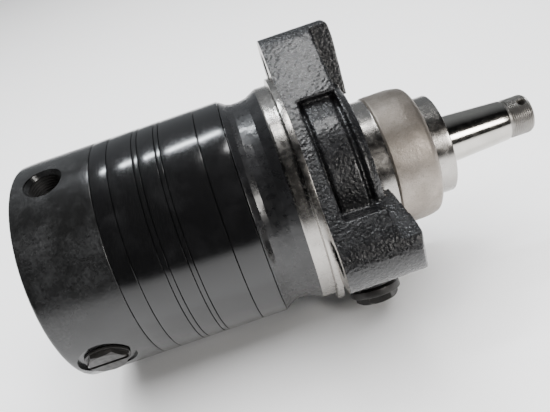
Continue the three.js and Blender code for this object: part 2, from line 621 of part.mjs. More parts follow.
// The rings around the shaft: name, rear and front plane, inner and outer radius, finish. Each
// one that turns with neither wall stands clear of both.
function shaftRings() {
  const journal = JOURNAL_RADIUS + GAP;
  const sealBore = SEAL_BORE_RADIUS - GAP;
  const rings = [
    ['inner_bearing', 158, 182, DRUM_RADIUS + GAP, BORE_RADIUS - GAP, 'bronze'],
    ['thrust_bearing', DRUM_FRONT_X + GAP, 208.8, journal + 0.4, 29, 'hardSteel'],
    ['thrust_washer', 209.1, THRUST_FACE_X - GAP, journal + 0.4, 30, 'hardSteel'],
    ['outer_bearing', 214, 233, journal, sealBore, 'bronze'],
    ['shaft_seal', 233.6, 241.6, journal, sealBore, 'rubber'],
    ['backup_washer', 242, SEAL_STOP_X - GAP, journal + 0.2, sealBore, 'hardSteel'],
    ['dust_seal', DUST_SEAT_X + 0.4, 252, COLLAR_RADIUS + GAP, DUST_BORE_RADIUS - GAP, 'rubber'],
  ];
  for (const [name, x0, x1, inner, outer, finish] of rings) {
    add(name, ring(x0, x1, inner, outer), finish);
  }
}

// ---------------------------------------------------------------- assembly

endCover();
portPlug();
coverBolts();
commutatorRing();
manifoldPlates();
commutator();
stator();
rotor();
rollers();
wearPlate();
driveLink();
housing();
drainPlug();
outputShaft();
shaftRings();
[
  [COVER_FRONT, -1], [COMMUTATOR_RING_FRONT, -1], [ISOLATOR_FRONT, 1], [STATOR_FRONT, 1],
  [WEAR_PLATE_FRONT, 1],
].forEach(([x, side], i) => bodySeal(`body_seal_${i + 1}`, x, side));

export default motor;
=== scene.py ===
"""The looks of an orbital hydraulic wheel motor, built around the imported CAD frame.

Every length is in metres in the row frame: +X along the shaft towards its thread, one flange ear
along -Y, origin at the centre of the end cover's rear face. An angle around the axis is in
degrees, counted from +Z towards -Y. Outlines are written in millimetres where in_metres or
line_of turns them into metres.
"""
import json
import math

import bmesh
import bpy
from mathutils import Matrix, Vector, noise


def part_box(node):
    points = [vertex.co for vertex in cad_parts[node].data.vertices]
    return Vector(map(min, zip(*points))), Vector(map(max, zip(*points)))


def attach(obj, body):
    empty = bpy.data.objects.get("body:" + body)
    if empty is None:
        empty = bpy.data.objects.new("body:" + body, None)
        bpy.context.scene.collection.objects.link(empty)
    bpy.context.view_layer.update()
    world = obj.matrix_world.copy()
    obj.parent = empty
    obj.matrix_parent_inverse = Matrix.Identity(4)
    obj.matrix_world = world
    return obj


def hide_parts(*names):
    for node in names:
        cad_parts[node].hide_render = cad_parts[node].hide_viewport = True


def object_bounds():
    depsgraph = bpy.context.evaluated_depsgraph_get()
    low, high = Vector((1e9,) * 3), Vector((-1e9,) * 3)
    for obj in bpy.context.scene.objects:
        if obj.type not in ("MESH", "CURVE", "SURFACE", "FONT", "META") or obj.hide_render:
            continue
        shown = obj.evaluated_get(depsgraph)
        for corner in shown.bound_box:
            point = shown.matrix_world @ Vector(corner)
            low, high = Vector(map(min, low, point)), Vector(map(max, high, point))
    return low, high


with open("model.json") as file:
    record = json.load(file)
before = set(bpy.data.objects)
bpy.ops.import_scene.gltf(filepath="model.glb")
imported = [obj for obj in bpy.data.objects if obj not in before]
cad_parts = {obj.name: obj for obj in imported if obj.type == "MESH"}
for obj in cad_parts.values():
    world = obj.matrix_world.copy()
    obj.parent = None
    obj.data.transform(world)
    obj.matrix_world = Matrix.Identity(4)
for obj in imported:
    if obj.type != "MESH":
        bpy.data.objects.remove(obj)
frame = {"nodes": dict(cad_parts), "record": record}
cad_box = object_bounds()

MM = 0.001

# Places that the CAD frame gives.
BODY_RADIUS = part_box("stator")[1].z
HOUSING_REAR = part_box("housing")[0].x
HOUSING_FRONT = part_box("housing")[1].x
COVER_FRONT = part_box("end_cover")[1].x
SHAFT_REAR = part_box("output_shaft")[0].x
SHAFT_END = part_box("output_shaft")[1].x

BOLT_ANGLES = [240 / 7 + i * 360 / 7 for i in range(7)]
BOLT_CIRCLE = 57 * MM
BOLT_HOLE_RADIUS = 4.3 * MM
BOLT_SEAT_RADIUS = 7 * MM
BOLT_SEAT_DEPTH = 9.1 * MM
ROLLER_ANGLES = [60 / 7 + i * 360 / 7 for i in range(7)]
ROLLER_CIRCLE = 42 * MM
ROLLER_POCKET_RADIUS = 7.75 * MM
COMMUTATOR_CHAMBER = 44 * MM
STATOR_BORE = 42.3 * MM
PLATE_BORE = 16 * MM
PORT_X = 20.6 * MM
PORT_RADIUS = 10.7 * MM
PORT_FLOOR = 30 * MM
PORT_PITCH = 1.81 * MM
PORT_THREAD_DEPTH = 0.9 * MM
OPEN_PORT_ANGLE = 10
PLUGGED_PORT_ANGLE = 112.5
SPOT_FACE_RADIUS = 17 * MM
SPOT_FACE_HEIGHT = 67.4 * MM
SEAL_SEAT_RADIUS = 12.6 * MM
SEAL_SEAT_HEIGHT = 65.2 * MM
PLUG_HEX_FLATS = 22 * MM
EAR_ANGLES = (-30, 90, 210)
EAR_CIRCLE = 80 * MM
EAR_RADIUS = 18 * MM
RIB_HALF_WIDTH = 12 * MM
BLOCK_FRONT = 196 * MM
MOUNT_FACE = 163.8 * MM
CASTING_REAR = 160 * MM                # the flange casting, before its rear is faced off
FRONT_LIMIT = 230 * MM                 # in front of every part of the flange
DRAIN_X = 185.6 * MM
DRAIN_ANGLE = 150
DRAIN_BOSS_RADIUS = 15 * MM
DRAIN_BOSS_TOP = 74 * MM
DRAIN_FACE_HEIGHT = 72.8 * MM
DRAIN_HEX_FLATS = 24.5 * MM

# Radii of the housing's outline and of the bolt holes in its ears, in millimetres.
EAR_HOLE = 8.75
PILOT = 73.3
BAND = 41.9
BOSS = 42.9
NOSE = 31.9
BEARING_BORE = 32.3

# Output shaft.
THREAD_START = 298.8 * MM
THREAD_RADIUS = 12.7 * MM
THREAD_PITCH = 1.27 * MM
THREAD_DEPTH = 0.6 * MM
KEYWAY_ALONG = (262 * MM, 286 * MM)
KEYWAY_ACROSS = (-3.97 * MM, 3.97 * MM)
KEYWAY_HEIGHT = (11.2 * MM, 20 * MM)
KEYWAY_ANGLE = 238
COTTER_X = 309 * MM
COTTER_ANGLE = 20

# The camera looks square at the axis, from above, rolled so that the shaft rises to the right.
CAMERA_ELEVATION = 33.5
CAMERA_ROLL = 18.83
CAMERA_DISTANCE = 388 * MM
CAMERA_AIM_X = 141.1 * MM
CAMERA_AIM_DROP = 4.9 * MM
CAMERA_LENS = 39.3


# ------------------------------------------------------------------ mesh helpers

def around(radius, angle, x=0.0):
    """The point at a radius and an angle about the motor axis."""
    turn = math.radians(angle)
    return Vector((x, -radius * math.sin(turn), radius * math.cos(turn)))


def mesh_object(name, vertices, faces):
    mesh = bpy.data.meshes.new(name)
    mesh.from_pydata(vertices, [], faces)
    mesh.update()
    made = bpy.data.objects.new(name, mesh)
    bpy.context.scene.collection.objects.link(made)
    return made


def tidy_normals(piece):
    work = bmesh.new()
    work.from_mesh(piece.data)
    bmesh.ops.remove_doubles(work, verts=work.verts, dist=1e-7)
    bmesh.ops.recalc_face_normals(work, faces=work.faces)
    work.to_mesh(piece.data)
    work.free()


def smooth(piece, angle=32):
    """Smooth shading, with an edge sharper than the angle kept crisp."""
    mesh = piece.data
    mesh.polygons.foreach_set("use_smooth", [True] * len(mesh.polygons))
    mesh.set_sharp_from_angle(angle=math.radians(angle))
    mesh.update()
    return piece


def rounded(outline, radius, steps=3):
    """The outline with each corner replaced by a small arc. A point may carry its own radius."""
    made = []
    count = len(outline)
    for i, point in enumerate(outline):
        corner = Vector(point[:2])
        size = point[2] if len(point) > 2 else radius
        before = Vector(outline[i - 1][:2]) - corner
        after = Vector(outline[(i + 1) % count][:2]) - corner
        on_axis = corner.y < 1e-9
        reach = min(size, before.length * 0.45, after.length * 0.45)
        if on_axis or reach < 1e-6 or before.angle(after) > math.radians(172):
            made.append(corner)
            continue
        start = corner + before.normalized() * reach
        end = corner + after.normalized() * reach
        for step in range(steps + 1):
            t = step / steps
            made.append(start.lerp(corner, t).lerp(corner.lerp(end, t), t))
    return made


def finer(points, most):
    """The closed outline with long stretches split, so that no step is longer than most."""
    made = []
    for i, point in enumerate(points):
        following = points[(i + 1) % len(points)]
        parts = max(1, math.ceil((following - point).length / most))
        made += [point.lerp(following, k / parts) for k in range(parts)]
    return made


def in_metres(outline, *given):
    """An outline from millimetres to metres, except an x that the frame gave in metres."""
    made = []
    for x, radius, *size in outline:
        along = x if x in given else x * MM
        made.append((along, radius * MM, *[s * MM for s in size]))
    return made


def line_of(*points):
    """Plain outline points, from millimetres to metres."""
    return [Vector((x * MM, radius * MM)) for x, radius in points]


def turned(name, points, segments=144):
    """A solid of revolution about X, from a closed outline of (x, radius)."""
    vertices, rings = [], []
    for x, radius in points:
        if radius < 1e-9:
            rings.append([len(vertices)] * segments)
            vertices.append((x, 0, 0))
            continue
        rings.append(list(range(len(vertices), len(vertices) + segments)))
        vertices += [around(radius, 360 * k / segments, x) for k in range(segments)]
    faces = []
    for i, ring in enumerate(rings):
        following = rings[(i + 1) % len(rings)]
        for k in range(segments):
            n = (k + 1) % segments
            corners = [ring[k], following[k], following[n], ring[n]]
            unique = list(dict.fromkeys(corners))
            if len(unique) > 2:
                faces.append(unique)
    made = mesh_object(name, vertices, faces)
    tidy_normals(made)
    return made


def prism(name, corners, low, high):
    """A prism along X, from (y, z) corners."""
    count = len(corners)
    vertices = [(x, y, z) for x in (low, high) for y, z in corners]
    faces = [list(range(count)), list(range(count, 2 * count))]
    faces += [[k, (k + 1) % count, count + (k + 1) % count, count + k] for k in range(count)]
    made = mesh_object(name, vertices, faces)
    tidy_normals(made)
    return made


def hexagon(flats):
    return [around(flats / math.sqrt(3), 60 * k)[1:] for k in range(6)]


def placed(piece, matrix):
    piece.data.transform(matrix)
    return piece


def standing(piece, x, angle):
    """A piece built along +X, stood along +Z, turned to the angle and moved along the axis."""
    up = Matrix.Rotation(-math.pi / 2, 4, "Y")
    turn = Matrix.Rotation(math.radians(angle), 4, "X")
    return placed(piece, turn @ Matrix.Translation((x, 0, 0)) @ up)


def beside(piece, radius, angle):
    """A piece built on the motor axis, moved out to a radius at an angle."""
    return placed(piece, Matrix.Translation(around(radius, angle)))


def joined(name, parts):
    """One object that holds the parts' meshes as they are."""
    work = bmesh.new()
    for part in parts:
        work.from_mesh(part.data)
    made = mesh_object(name, [], [])
    work.to_mesh(made.data)
    work.free()
    for part in parts:
        bpy.data.objects.remove(part)
    return made


def applied(piece):
    """The piece with its modifiers made part of its mesh."""
    shown = bpy.context.evaluated_depsgraph_get()
    shown.update()
    piece.data = bpy.data.meshes.new_from_object(piece.evaluated_get(shown))
    piece.modifiers.clear()
    return piece


def boolean(piece, operation, parts):
    for part in parts:
        step = piece.modifiers.new("boolean", "BOOLEAN")
        step.operation = operation
        step.solver = "MANIFOLD"
        step.object = part
    applied(piece)
    for part in parts:
        bpy.data.objects.remove(part)
    return piece


def cut(piece, parts):
    return boolean(piece, "DIFFERENCE", parts)


def rod(low, high, radius, segments=48):
    outline = ((low, 0), (low, radius), (high, radius), (high, 0))
    return turned("rod", [Vector(point) for point in outline], segments)


def block(x, y, z):
    """A box from (low, high) pairs."""
    corners = [(y[0], z[0]), (y[1], z[0]), (y[1], z[1]), (y[0], z[1])]
    return prism("block", corners, *x)


def roughened(piece, height, size, where=lambda point: True):
    """Moves each vertex along its normal by noise of a height and a grain size."""
    normals = [vertex.normal.copy() for vertex in piece.data.vertices]
    places = [vertex.co.copy() for vertex in piece.data.vertices]
    for i, place in enumerate(places):
        if where(place):
            grain = noise.noise(place / size) + 0.5 * noise.noise(place / size * 2.3 + Vector((7, 3, 1)))
            places[i] = place + normals[i] * grain * height
    piece.data.vertices.foreach_set("co", [number for place in places for number in place])
    piece.data.update()
    return piece


# ------------------------------------------------------------------ materials

class Nodes:
    """A small builder of one material's node tree."""

    def __init__(self, name):
        self.material = bpy.data.materials.new(name)
        self.material.use_nodes = True
        self.tree = self.material.node_tree
        self.shader = self.tree.nodes["Principled BSDF"]
        self.place = self.add("ShaderNodeTexCoord").outputs["Object"]

    def add(self, kind, **settings):
        node = self.tree.nodes.new(kind)
        for key, value in settings.items():
            setattr(node, key, value)
        return node

    def link(self, source, target):
        self.tree.links.new(source, target)

    def set(self, **values):
        for key, value in values.items():
            self.shader.inputs[key.replace("_", " ")].default_value = value
        return self

    def stretched(self, scale):
        mapping = self.add("ShaderNodeMapping")
        mapping.inputs["Scale"].default_value = scale
        self.link(self.place, mapping.inputs["Vector"])
        return mapping.outputs["Vector"]

    def noise(self, scale, detail=3.0, rough=0.55, place=None):
        made = self.add("ShaderNodeTexNoise")
        made.inputs["Scale"].default_value = scale
        made.inputs["Detail"].default_value = detail
        made.inputs["Roughness"].default_value = rough
        self.link(place or self.place, made.inputs["Vector"])
        return made.outputs["Fac"]

    def spread(self, source, low, high, start=0.3, end=0.7):
        """A value that runs from low to high as the source runs from start to end."""
        made = self.add("ShaderNodeMapRange")
        made.inputs["From Min"].default_value = start
        made.inputs["From Max"].default_value = end
        made.inputs["To Min"].default_value = low
        made.inputs["To Max"].default_value = high
        self.link(source, made.inputs["Value"])
        return made.outputs["Result"]

    def blend(self, amount, first, second):
        """A colour between two colours, or between a colour socket and a colour."""
        made = self.add("ShaderNodeMix", data_type="RGBA")
        self.link(amount, made.inputs["Factor"])
        for socket, value in ((made.inputs[6], first), (made.inputs[7], second)):
            if isinstance(value, tuple):
                socket.default_value = (*value, 1)
            else:
                self.link(value, socket)
        return made.outputs[2]

    def colour(self, source):
        self.link(source, self.shader.inputs["Base Color"])
        return self

    def roughness(self, source):
        self.link(source, self.shader.inputs["Roughness"])
        return self

    def bump(self, *layers):
        """Bump layers of (height source, distance in metres, strength), each on the last."""
        last = None
        for source, distance, strength in layers:
            made = self.add("ShaderNodeBump")
            made.inputs["Distance"].default_value = distance
            made.inputs["Strength"].default_value = strength
            self.link(source, made.inputs["Height"])
            if last:
                self.link(last, made.inputs["Normal"])
            last = made.outputs["Normal"]
        self.link(last, self.shader.inputs["Normal"])
        return self


def turning_marks(nodes, scale, detail=2.0):
    """Noise that changes along the axis only, as a lathe tool leaves it."""
    return nodes.noise(scale, detail, 0.6, nodes.stretched((1, 0.012, 0.012)))


def black_enamel():
    """Glossy black enamel over turned steel: faint turning marks and a little orange peel."""
    n = Nodes("black_enamel").set(Coat_Weight=0.2, Coat_Roughness=0.1, Specular_IOR_Level=0.5)
    dust = n.noise(60, 5, 0.65)
    n.colour(n.blend(n.spread(dust, 0, 1, 0.5, 0.8), (0.004, 0.004, 0.0042), (0.009, 0.009, 0.0095)))
    n.roughness(n.spread(n.noise(420, 4), 0.13, 0.2))
    n.bump((turning_marks(n, 900), 0.00004, 0.45), (n.noise(1500, 2), 0.00002, 0.3))
    return n.material


def cover_enamel():
    """The end cover's enamel, over a finer casting skin, with a greyer bloom in patches."""
    n = Nodes("cover_enamel").set(Coat_Weight=0.1, Coat_Roughness=0.12, Specular_IOR_Level=0.5)
    bloom = n.spread(n.noise(26, 4, 0.7), 0, 1, 0.42, 0.8)
    speck = n.spread(n.noise(700, 3, 0.7), 0, 1, 0.35, 0.7)
    worn = n.blend(speck, (0.008, 0.008, 0.0083), (0.05, 0.051, 0.052))
    n.colour(n.blend(bloom, (0.006, 0.006, 0.006), worn))
    n.roughness(n.spread(bloom, 0.2, 0.42, 0, 1))
    n.bump((n.noise(520, 4, 0.65), 0.0002, 0.45))
    return n.material


def cast_enamel():
    """Thick gloss enamel over rough sand casting."""
    n = Nodes("cast_enamel").set(Coat_Weight=0.3, Coat_Roughness=0.12, Specular_IOR_Level=0.5)
    dust = n.noise(110, 4)
    n.colour(n.blend(n.spread(dust, 0, 1, 0.5, 0.75), (0.004, 0.004, 0.0044), (0.012, 0.012, 0.013)))
    n.roughness(n.spread(n.noise(300, 3), 0.2, 0.36))
    n.bump((n.noise(640, 2, 0.5), 0.0008, 0.8), (n.noise(1500, 2), 0.0002, 0.5))
    return n.material


def neck_enamel():
    """The neck's enamel, between the plates' gloss and the flange's coarse skin."""
    n = Nodes("neck_enamel").set(Coat_Weight=0.25, Coat_Roughness=0.12, Specular_IOR_Level=0.5)
    dust = n.spread(n.noise(90, 4), 0, 1, 0.5, 0.8)
    n.colour(n.blend(dust, (0.005, 0.005, 0.0054), (0.014, 0.014, 0.015)))
    n.roughness(n.spread(n.noise(250, 3), 0.22, 0.4))
    n.bump((n.noise(520, 3, 0.6), 0.0003, 0.4))
    return n.material


def bare_casting():
    """Unpainted cast iron: warm grey, granular and only half shiny."""
    n = Nodes("bare_casting").set(Metallic=0.95, Specular_IOR_Level=0.5)
    tone = n.blend(n.spread(n.noise(90, 4), 0, 1), (0.26, 0.23, 0.2), (0.38, 0.34, 0.3))
    n.colour(n.blend(n.spread(n.noise(1300, 2), 0, 0.45, 0.52, 0.7), tone, (0.16, 0.14, 0.12)))
    n.roughness(n.spread(n.noise(700, 3), 0.36, 0.52))
    n.bump((n.noise(900, 4, 0.65), 0.0003, 0.6))
    return n.material


def machined(name, base, low, high, marks=1400):
    """Bright turned metal with fine marks around the axis."""
    n = Nodes(name).set(Metallic=1.0)
    shade = n.spread(n.noise(45, 3), 0, 1, 0.35, 0.7)
    n.colour(n.blend(shade, base, tuple(c * 0.78 for c in base)))
    n.roughness(n.spread(n.noise(240, 3), low, high))
    n.bump((turning_marks(n, marks, 3), 0.00004, 0.45))
    return n.material


def faced():
    """The flange's machined face, with the arcs that a facing cut leaves."""
    n = Nodes("faced_iron").set(Metallic=1.0)
    n.colour(n.blend(n.spread(n.noise(70, 4), 0, 1), (0.5, 0.48, 0.45), (0.36, 0.34, 0.32)))
    n.roughness(n.spread(n.noise(260, 3), 0.24, 0.42))
    rings = n.add("ShaderNodeTexWave", wave_type="RINGS", rings_direction="X")
    rings.inputs["Scale"].default_value = 260
    rings.inputs["Distortion"].default_value = 0.4
    n.link(n.place, rings.inputs["Vector"])
    n.bump((rings.outputs["Fac"], 0.00003, 0.5))
    return n.material


def black_oxide():
    n = Nodes("black_oxide").set(Metallic=0.3, Specular_IOR_Level=0.5)
    n.colour(n.blend(n.spread(n.noise(260, 4), 0, 1), (0.012, 0.0115, 0.011), (0.03, 0.028, 0.026)))
    n.roughness(n.spread(n.noise(420, 3), 0.28, 0.5))
    n.bump((n.noise(1100, 3), 0.00008, 0.35))
    return n.material


def seal_rubber():
    n = Nodes("seal_rubber")
    n.colour(n.blend(n.noise(300, 3), (0.012, 0.012, 0.013), (0.026, 0.026, 0.028)))
    n.roughness(n.spread(n.noise(500, 3), 0.55, 0.8))
    n.bump((n.noise(1500, 2), 0.00006, 0.3))
    return n.material


def port_shadow():
    """Painted shade: the wall of a port's thread, coloured near black to look like its unlit inside."""
    n = Nodes("port_painted_shade").set(Metallic=0.2)
    # The near-black colour is painted shade, with a little random tone, not the metal's own colour.
    n.colour(n.blend(n.noise(300, 3), (0.008, 0.008, 0.008), (0.02, 0.019, 0.018)))
    n.roughness(n.spread(n.noise(500, 3), 0.4, 0.6))
    return n.material


ENAMEL = black_enamel()
COVER = cover_enamel()
CAST = cast_enamel()
BARE = bare_casting()
TURNED = machined("turned_iron", (0.44, 0.42, 0.395), 0.18, 0.32)
GROUND = machined("ground_steel", (0.56, 0.54, 0.5), 0.1, 0.18, 2200)
THREAD = machined("thread_steel", (0.36, 0.345, 0.325), 0.36, 0.52, 3000)
HARD = machined("hardened_steel", (0.5, 0.5, 0.51), 0.18, 0.3)
BRONZE = machined("bearing_bronze", (0.55, 0.38, 0.16), 0.3, 0.45)
FACED = faced()
OXIDE = black_oxide()
RUBBER = seal_rubber()
# Painted shade for the inside of the open port.
PORT_SHADE = port_shadow()
NECK = neck_enamel()


def finish(piece, body, nodes, materials, choose=None):
    """Puts a made piece on its body, with its materials, in place of its CAD nodes."""
    piece.data.materials.clear()
    for material in materials:
        piece.data.materials.append(material)
    for face in piece.data.polygons:
        face.material_index = choose(face) if choose else 0
    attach(piece, body)
    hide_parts(*nodes)
    return piece


# ------------------------------------------------------------------ end cover and plates

def thread_cutter(low, high, radius, pitch, depth):
    """A tool for a tapped hole along +X: ridges all the way, and a lead-in at the top."""
    outline = [(low, 0.0), (low, radius - depth)]
    x = low
    while x + pitch < high - 1.2 * MM:
        outline += [(x + pitch / 2, radius), (x + pitch, radius - depth)]
        x += pitch
    mouth, above = radius + 0.9 * MM, high + 8 * MM
    outline += [(high, mouth), (above, mouth), (above, 0.0)]
    return turned("thread_cutter", [Vector(p) for p in outline], 64)


def bolt_holes(low, high):
    return [beside(rod(low, high, BOLT_HOLE_RADIUS, 24), BOLT_CIRCLE, angle) for angle in BOLT_ANGLES]


def end_cover():
    outline = [
        (0, 0), (0, BODY_RADIUS - 0.4 * MM, 2.6 * MM), (9 * MM, BODY_RADIUS),
        (COVER_FRONT, BODY_RADIUS, 0.7 * MM), (COVER_FRONT, 0)]
    piece = turned("end_cover_casting", finer(rounded(outline, 0.4 * MM, 5), 2.5 * MM), 192)
    roughened(piece, 0.07 * MM, 2.2 * MM, lambda p: p.x < COVER_FRONT - 2 * MM)
    top = BODY_RADIUS - 0.2 * MM
    tapped = thread_cutter(
        PORT_FLOOR, top - PORT_THREAD_DEPTH, PORT_RADIUS, PORT_PITCH, PORT_THREAD_DEPTH)
    tools = [standing(tapped, PORT_X, OPEN_PORT_ANGLE)]
    outside = 80 * MM
    for low, radius, segments in ((PORT_FLOOR, PORT_RADIUS, 64),
                                  (SPOT_FACE_HEIGHT, SPOT_FACE_RADIUS, 96),
                                  (SEAL_SEAT_HEIGHT, SEAL_SEAT_RADIUS, 64)):
        tools.append(standing(rod(low, outside, radius, segments), PORT_X, PLUGGED_PORT_ANGLE))
    for angle in BOLT_ANGLES:
        tools.append(beside(rod(-2 * MM, BOLT_SEAT_DEPTH, BOLT_SEAT_RADIUS, 40), BOLT_CIRCLE, angle))
    cut(piece, tools)
    smooth(piece)
    outward = around(1, OPEN_PORT_ANGLE)

    # Faces of the open port's tapped wall take the second material, which is painted shade for the
    # port's unlit inside.
    def choose(face):
        away = face.center - Vector((PORT_X, 0, 0))
        height = away.dot(outward)
        inside = (away - outward * height).length < PORT_RADIUS + 0.2 * MM
        return 1 if inside and 25 * MM < height < BODY_RADIUS - 3 * MM else 0

    finish(piece, "motor_body", ["end_cover"], [COVER, PORT_SHADE], choose)


def stack_plates():
    names = ["commutator_ring", "manifold_rear_plate", "manifold_middle_plate",
             "manifold_front_plate", "isolator_plate", "stator", "wear_plate"]
    bores = {"commutator_ring": COMMUTATOR_CHAMBER, "stator": STATOR_BORE}
    for name in names:
        low, high = (corner.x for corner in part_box(name))
        bore = bores.get(name, PLATE_BORE)
        outline = [(low, bore), (low, BODY_RADIUS), (high, BODY_RADIUS), (high, bore)]
        piece = turned(name + "_turned", rounded(outline, 0.45 * MM), 192)
        tools = bolt_holes(low - MM, high + MM)
        if name == "stator":
            for angle in ROLLER_ANGLES:
                pocket = rod(low - MM, high + MM, ROLLER_POCKET_RADIUS)
                tools.append(beside(pocket, ROLLER_CIRCLE, angle))
        cut(piece, tools)
        smooth(piece)
        finish(piece, "motor_body", [name], [ENAMEL])


def port_plug():
    body = turned("port_plug_turned", rounded(in_metres([
        (54, 0), (54, 10), (67.7, 10.4), (67.7, 13.2), (69.1, 13.2), (69.1, 0)]), 0.3 * MM), 96)
    head = prism("hex", hexagon(PLUG_HEX_FLATS), 68.4 * MM, 72.2 * MM)
    crown = turned("crown", line_of((60, 0), (60, 14), (70.6, 14), (72.3, 10.6), (72.3, 0)), 96)
    boolean(head, "INTERSECT", [crown])
    boolean(body, "UNION", [head])
    cut(body, [block((70.4 * MM, 75 * MM), (-1.3 * MM, 1.3 * MM), (-20 * MM, 20 * MM))])
    smooth(standing(body, PORT_X, PLUGGED_PORT_ANGLE), 20)
    finish(body, "motor_body", ["port_plug"], [OXIDE])


def drain_plug():
    body = turned("case_drain_plug_turned", rounded(in_metres([
        (61, 0), (61, 6.9), (74.3, 6.9), (74.3, 16.5), (79, 16.5, 1), (79, 0)]), 0.4 * MM), 96)
    head = prism("hex", hexagon(DRAIN_HEX_FLATS), 78 * MM, 84 * MM)
    crown = turned("crown", line_of((60, 0), (60, 16), (82.2, 15), (84.1, 11.8), (84.1, 0)), 96)
    boolean(head, "INTERSECT", [crown])
    boolean(body, "UNION", [head])
    cut(body, [rod(82 * MM, 90 * MM, 5 * MM)])
    smooth(standing(body, DRAIN_X, DRAIN_ANGLE), 20)
    finish(body, "motor_body", ["case_drain_plug"], [OXIDE])


def cover_bolts():
    for number, angle in enumerate(BOLT_ANGLES, 1):
        outline = in_metres([(0.8, 0), (0.8, 6.5, 0.8), (8.8, 6.5), (8.8, 4), (149, 4, 1), (149, 0)])
        piece = turned(f"cover_bolt_{number}_turned", rounded(outline, 0.3 * MM), 40)
        cut(piece, [prism("key", hexagon(6.5 * MM), -MM, 4.8 * MM)])
        smooth(beside(piece, BOLT_CIRCLE, angle))
        finish(piece, "motor_body", [f"cover_bolt_{number}"], [OXIDE])


# ------------------------------------------------------------------ housing

def housing_core():
    """The turned line of the housing: neck, pilot, bands, bearing boss and nose, with the bore."""
    rear = HOUSING_REAR
    outline = [(rear, 34), (rear, 69.2, 0.6), (129.6, 68.2), (132, 66.4), (135.5, 65.4), (140, 65.4),
               (145, 66.2), (148.6, 68), (151.3, 69.3), (152.4, 69.7), (159.3, 69.7, 0.2),
               (160, PILOT, 0.5), (163.9, PILOT, 0.3), (163.9, 50), (199, 50), (199, BAND),
               (212.6, BAND, 0.2), (213.9, BOSS, 0.3), (231, BOSS, 4), (238.6, 41.4, 3.4),
               (240.8, 38.2, 1.0), (240.8, NOSE, 0.3), (HOUSING_FRONT, NOSE, 0.7),
               (HOUSING_FRONT, 23.3, 0.4), (246.8, 23.3), (246.8, 20.4), (244.5, 20.4), (244.5, 26.3),
               (211.6, 26.3), (211.6, BEARING_BORE), (150, BEARING_BORE), (150, 34)]
    corners = rounded(in_metres(outline, rear, HOUSING_FRONT), 0.25 * MM, 4)
    piece = turned("housing_core", finer(corners, 1.6 * MM), 224)
    neck = (130 * MM, 150 * MM)
    boss = (215.5 * MM, 239.8 * MM)

    def cast(point):
        outside = math.hypot(point.y, point.z) > 33 * MM
        return outside and (neck[0] < point.x < neck[1] or boss[0] < point.x < boss[1])

    roughened(piece, 0.13 * MM, 1.9 * MM, cast)
    cut(piece, bolt_holes(100 * MM, 152 * MM))
    smooth(piece)

    def choose(face):
        x, out = face.center.x, math.hypot(face.center.y, face.center.z)
        if x < 151.6 * MM and out > 60 * MM:
            return 0
        if 213.2 * MM < x < 240.9 * MM and out > 32 * MM:
            return 2
        return 1

    finish(piece, "motor_body", ["housing"], [NECK, TURNED, BARE], choose)


def flange_outline():
    """Three round ears joined by straight sides, as (y, z)."""
    corners = []
    for ear in EAR_ANGLES:
        for turn in range(-60, 61, 5):
            point = around(EAR_CIRCLE, ear) + around(EAR_RADIUS, ear + turn)
            corners.append(point[1:])
    return corners


def across(angle, x, height, width):
    """A box in the frame of an angle: its height runs out along the angle, its width across."""
    piece = block(x, (-width[1], -width[0]), height)
    return placed(piece, Matrix.Rotation(math.radians(angle), 4, "X"))


def ear_rib(angle):
    """An ear's front part, round at its tip, with a front that falls towards the hub."""
    along = (165 * MM, FRONT_LIMIT)
    width = (-RIB_HALF_WIDTH, RIB_HALF_WIDTH)
    nose = beside(rod(*along, EAR_RADIUS, 96), EAR_CIRCLE, 0)
    boolean(nose, "INTERSECT", [across(0, along, (30 * MM, 110 * MM), width)])
    web = across(0, along, (38 * MM, EAR_CIRCLE), width)
    tip = beside(rod(165 * MM, BLOCK_FRONT, EAR_RADIUS, 96), EAR_CIRCLE, 0)
    boolean(tip, "UNION", [nose, web])
    side = [(30, 160), (110, 160), (110, 199.5), (98, 205.4), (92, 207.9), (84, 208.4),
            (41, 205.4), (30, 204.6)]
    slab = mesh_object("slab", *slab_faces([(x * MM, h * MM) for h, x in side], 24 * MM))
    tidy_normals(slab)
    boolean(tip, "INTERSECT", [slab])
    return placed(tip, Matrix.Rotation(math.radians(angle), 4, "X"))


def slab_faces(profile, half_width):
    """The vertices and faces of a profile in (x, z), given width along Y."""
    count = len(profile)
    vertices = [(x, y, z) for y in (-half_width, half_width) for x, z in profile]
    faces = [list(range(count)), list(range(count, 2 * count))]
    faces += [[k, (k + 1) % count, count + (k + 1) % count, count + k] for k in range(count)]
    return vertices, faces


